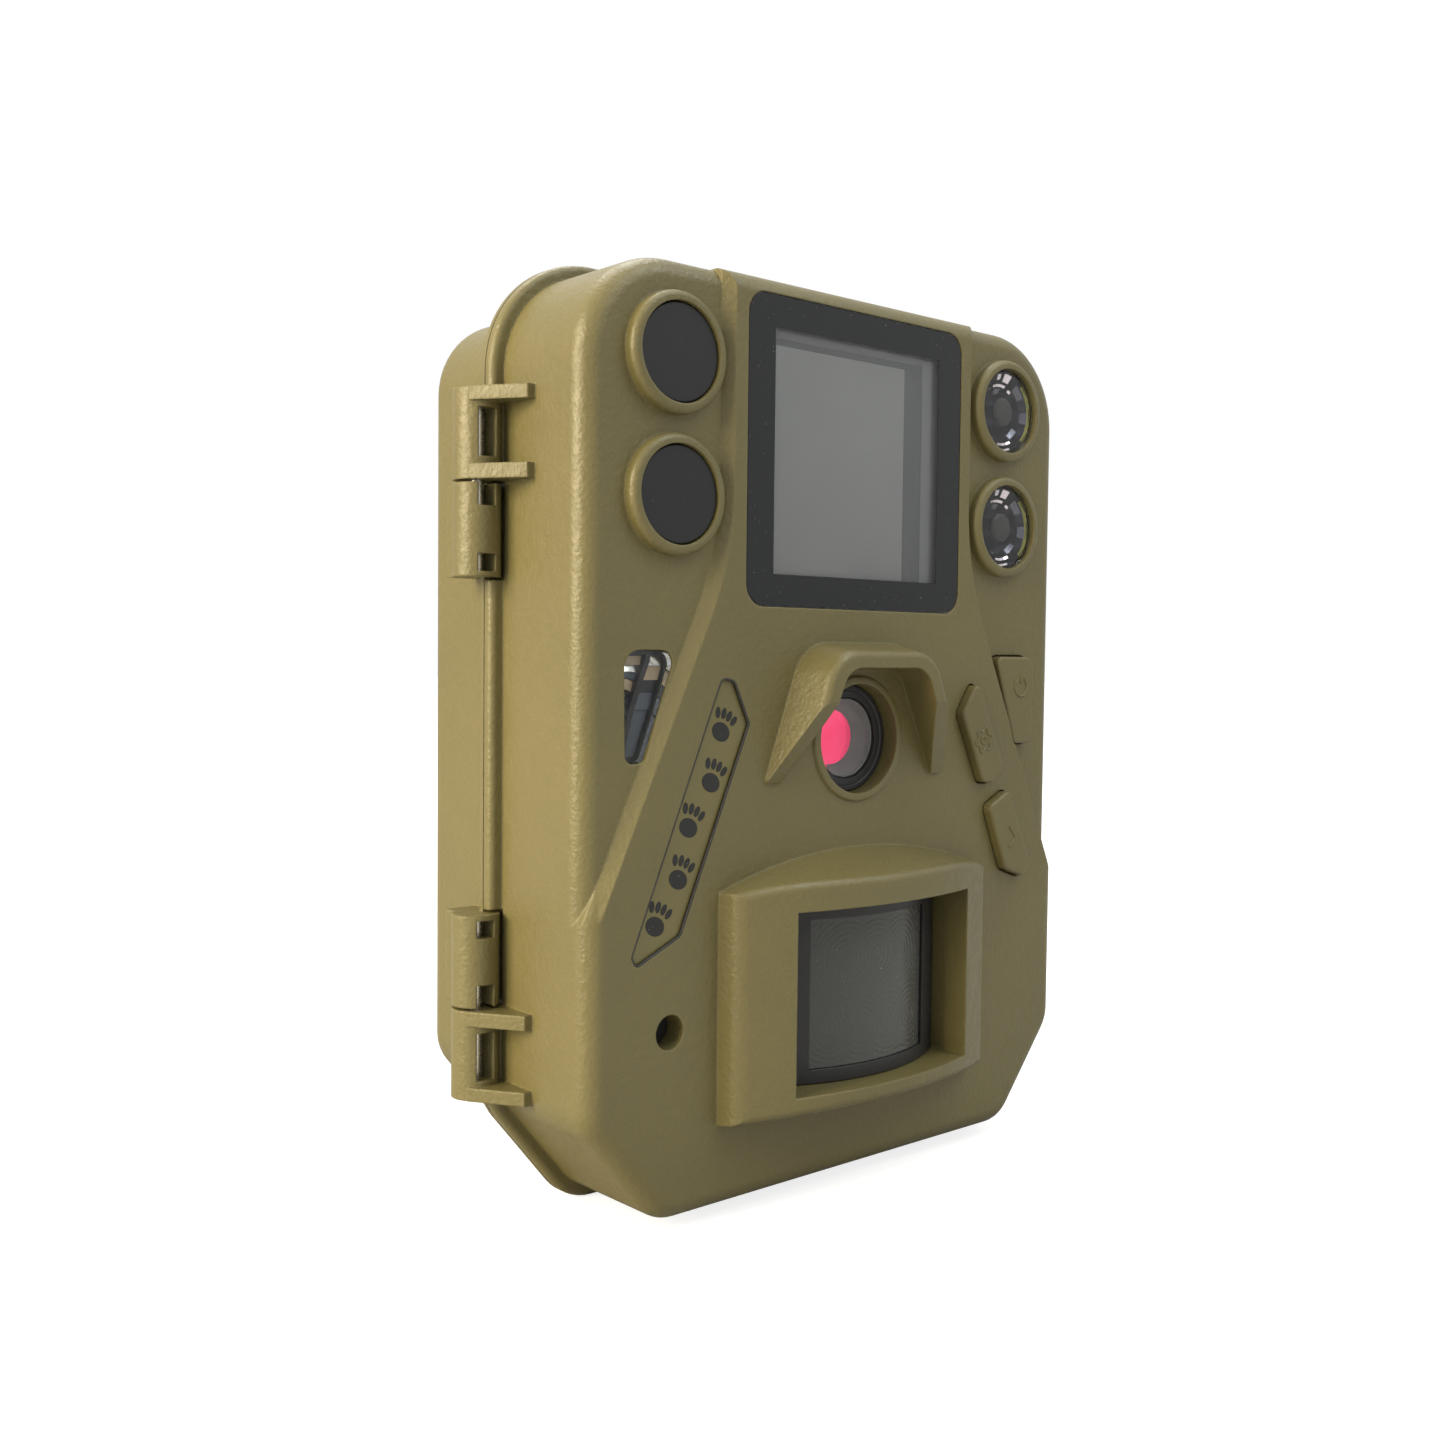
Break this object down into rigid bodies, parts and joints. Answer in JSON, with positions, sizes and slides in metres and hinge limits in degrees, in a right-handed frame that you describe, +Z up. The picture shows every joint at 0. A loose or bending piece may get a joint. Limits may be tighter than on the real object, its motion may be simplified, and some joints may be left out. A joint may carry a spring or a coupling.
{
  "type": "trail camera",
  "caption": "Compact weatherproof trail camera: hinged two-part case, small display, lens under a hood, motion sensor, lamps, strap bars and a tripod thread.",
  "frame": {"origin": "centre of the tripod insert's mouth, on the flat base", "axes": "+Z up the case, which is the longest side; the front faces -Y; +Y to the back is the shortest side; +X to the latch side"},
  "size_m": [0.0838, 0.0434, 0.1001],
  "materials": {
    "olive_shell": "fine spark texture, satin matt",
    "olive_button": "fine spark texture",
    "olive_trim": "smooth, satin",
    "latch_plastic": "fine spark texture",
    "display_glass": "clear, with a printed dark border",
    "display_panel": "grey, unlit",
    "ir_filter": "black, infrared transparent",
    "clear_lens": "clear",
    "reflector": "metallised",
    "emitter": "clear epoxy",
    "circuit_board": "solder mask",
    "chip": "moulded epoxy",
    "lens_black": "anodised look, matt black",
    "lens_glass": "coated",
    "fresnel_sheet": "smoked polyethylene with fine rings",
    "sensor_can": "plated",
    "card": "moulded",
    "gasket_rubber": "silicone",
    "inner_plastic": "moulded, dark",
    "steel": "bright",
    "contact_metal": "nickel plated",
    "brass": "turned",
    "cell_jacket": "printed jacket"
  },
  "bodies": {
    "rear_case": {"rear_shell": "olive_shell", "tripod_insert": "brass", "hinge_pin_upper": "steel", "hinge_pin_lower": "steel", "latch_pin": "steel", "battery_cradle": "inner_plastic", "battery_cell_1": "cell_jacket", "battery_cell_2": "cell_jacket", "battery_cell_3": "cell_jacket", "battery_cell_4": "cell_jacket", "battery_springs": "contact_metal", "battery_contacts": "contact_metal", "power_contacts": "contact_metal"},
    "front_housing": {"front_shell": "olive_shell", "cover_gasket": "gasket_rubber", "lcd_window": "display_glass", "lcd_panel": "display_panel", "ir_window_lower": "ir_filter", "ir_window_upper": "ir_filter", "ir_led_board": "circuit_board", "ir_leds": "emitter", "flash_lens_lower": "clear_lens", "flash_lens_upper": "clear_lens", "flash_reflector_lower": "reflector", "flash_reflector_upper": "reflector", "flash_leds": "emitter", "flash_board": "circuit_board", "lens_barrel": "lens_black", "lens_element": "lens_glass", "lens_retainer": "lens_black", "image_sensor_board": "circuit_board", "image_sensor": "chip", "pir_lens_frame": "lens_black", "pir_fresnel_lens": "fresnel_sheet", "pir_sensor": "sensor_can", "light_sensor_window": "clear_lens", "light_sensor_reflector": "reflector", "light_sensor": "chip", "badge_plate": "olive_trim", "microphone": "chip", "tact_switches": "chip", "main_board": "circuit_board", "board_components": "chip", "card_slot": "sensor_can", "usb_port": "sensor_can", "inner_cover": "inner_plastic", "inner_cover_screws": "steel", "power_pads": "contact_metal"},
    "latch": {"latch_lever": "latch_plastic"},
    "power_button": {"power_button": "olive_button"},
    "menu_button": {"menu_button": "olive_button"},
    "next_button": {"next_button": "olive_button"},
    "memory_card": {"memory_card": "card"}
  },
  "joints": [
    {"name": "front_hinge", "type": "hinge", "parent": "rear_case", "child": "front_housing", "pos_m": [-0.0392, -0.00686, 0.0496], "axis": [0, 0, -1], "range_deg": [0, 130]},
    {"name": "latch_turn", "type": "hinge", "parent": "rear_case", "child": "latch", "pos_m": [0.0397, 0, 0.052], "axis": [0, 0, 1], "range_deg": [0, 75]},
    {"name": "power_button_press", "type": "slide", "parent": "front_housing", "child": "power_button", "axis": [0, 1, 0], "range_m": [0, 0.0008], "stiffness_N_per_m": 600},
    {"name": "menu_button_press", "type": "slide", "parent": "front_housing", "child": "menu_button", "axis": [0, 1, 0], "range_m": [0, 0.0008], "stiffness_N_per_m": 600},
    {"name": "next_button_press", "type": "slide", "parent": "front_housing", "child": "next_button", "axis": [0, 1, 0], "range_m": [0, 0.0008], "stiffness_N_per_m": 600},
    {"name": "card_slide", "type": "slide", "parent": "front_housing", "child": "memory_card", "axis": [0, 0, -1], "range_m": [0, 0.006]}
  ]
}
